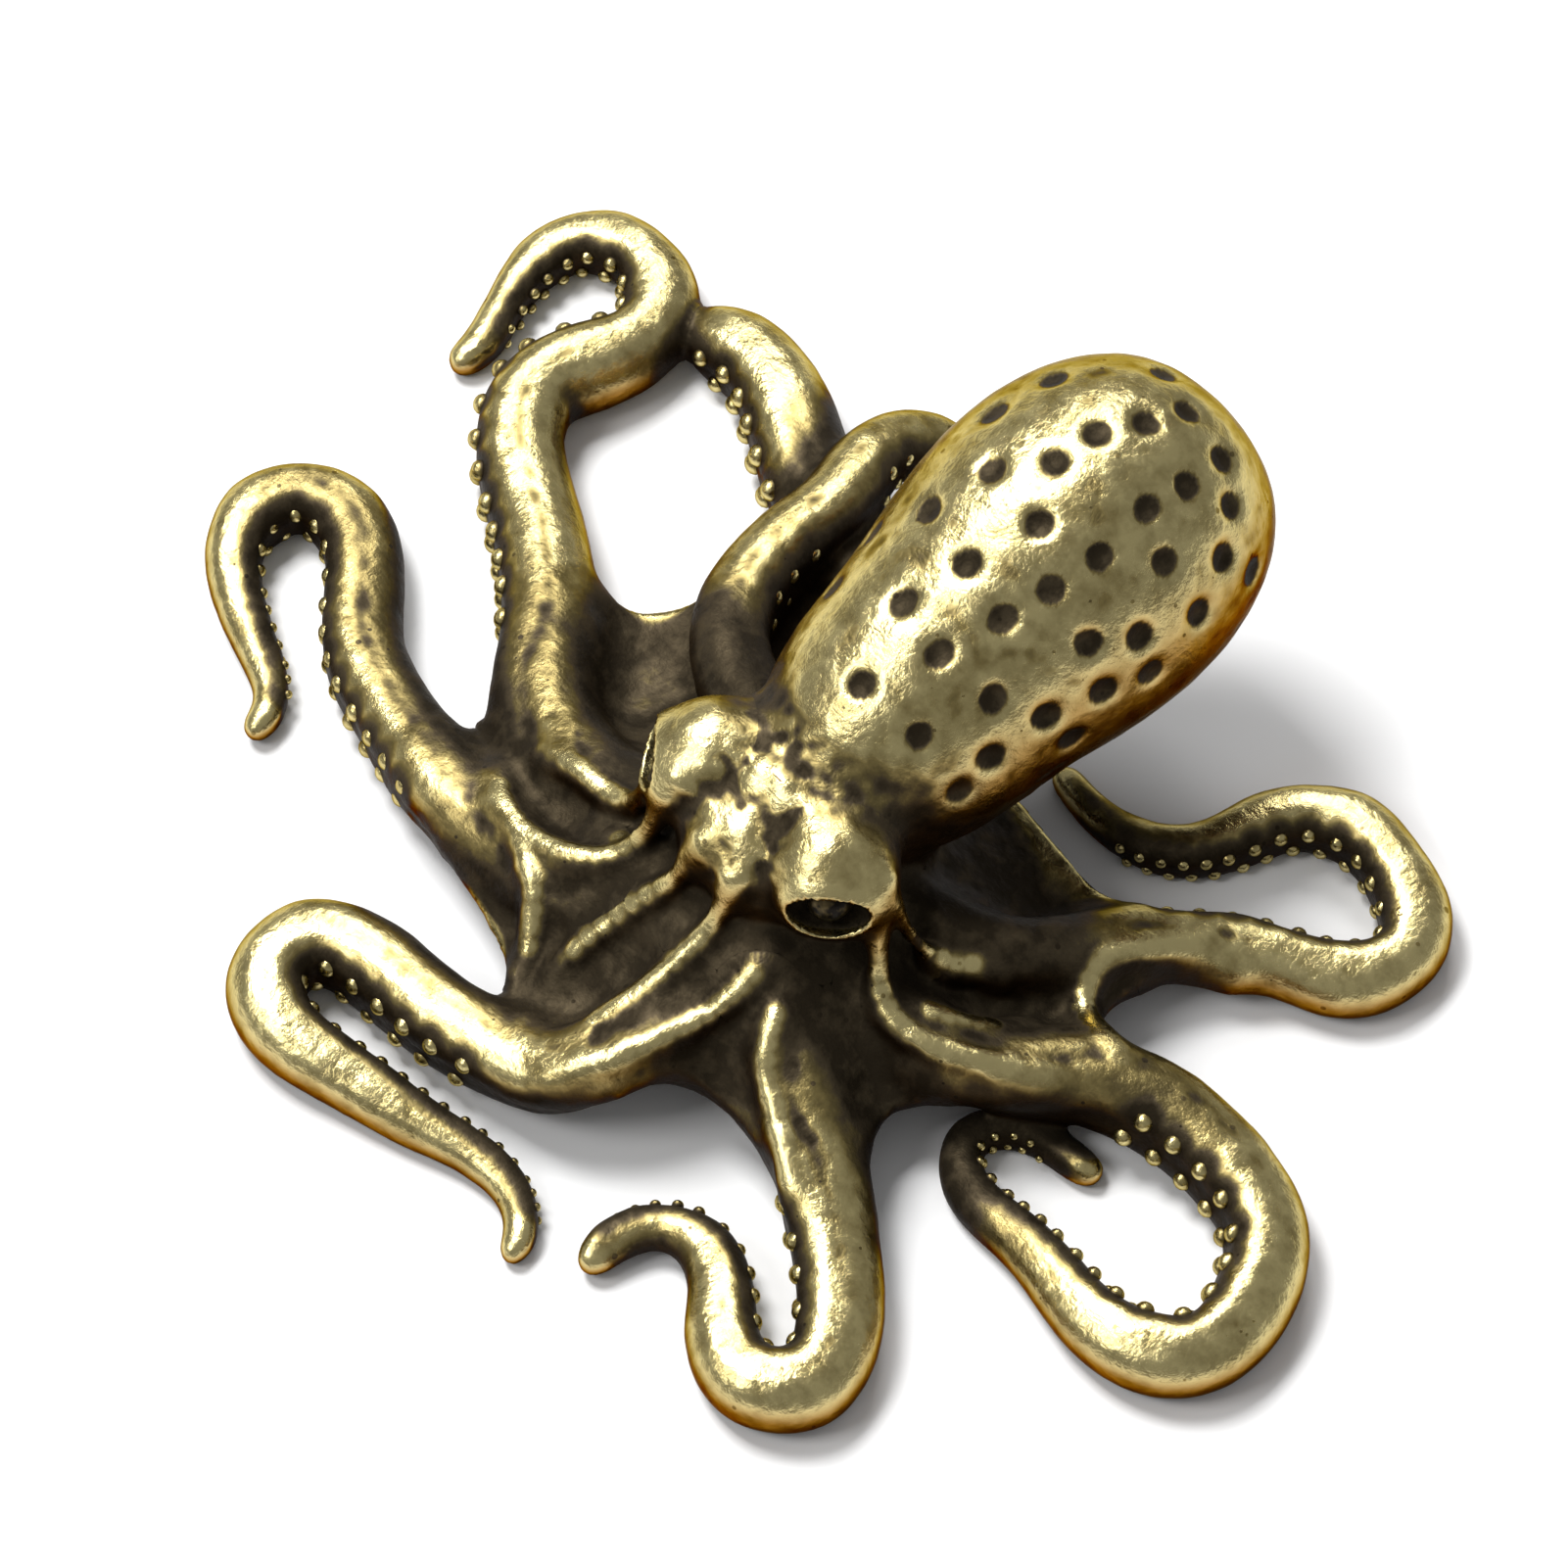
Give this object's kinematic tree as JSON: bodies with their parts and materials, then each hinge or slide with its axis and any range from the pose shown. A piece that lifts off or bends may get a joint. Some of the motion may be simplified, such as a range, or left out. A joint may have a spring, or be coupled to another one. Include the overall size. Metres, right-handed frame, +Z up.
{
  "type": "octopus figurine",
  "caption": "Small solid brass octopus ornament with a dimpled mantle, raised eye knobs, a scalloped web and curled arms bearing sucker beads.",
  "frame": {"origin": "centre of the ornament's box in plan, on the surface that it stands on", "axes": "+Z up, +Y from the face towards the tip of the mantle, +X towards the right of someone who faces the octopus's face, so that the nodes called left are at -X, on the left of the picture"},
  "size_m": [0.055, 0.04, 0.0177],
  "materials": {
    "antique_brass": "cast and polished on the high places, dark patina in the hollows",
    "sucker_brass": "cast beads, bright on top, dark round their feet",
    "dark_pellet": "blackened brass"
  },
  "bodies": {
    "root": {"mantle": "antique_brass", "head": "antique_brass", "web": "antique_brass", "arm_front": "antique_brass", "arm_front_left": "antique_brass", "arm_left": "antique_brass", "arm_rear_left": "antique_brass", "arm_rear": "antique_brass", "arm_rear_right": "antique_brass", "arm_right": "antique_brass", "arm_front_right": "antique_brass", "suckers_front": "sucker_brass", "suckers_front_left": "sucker_brass", "suckers_left": "sucker_brass", "suckers_rear_left": "sucker_brass", "suckers_rear": "sucker_brass", "suckers_rear_right": "sucker_brass", "suckers_right": "sucker_brass", "suckers_front_right": "sucker_brass", "eye_left": "dark_pellet", "eye_right": "dark_pellet"}
  },
  "joints": []
}
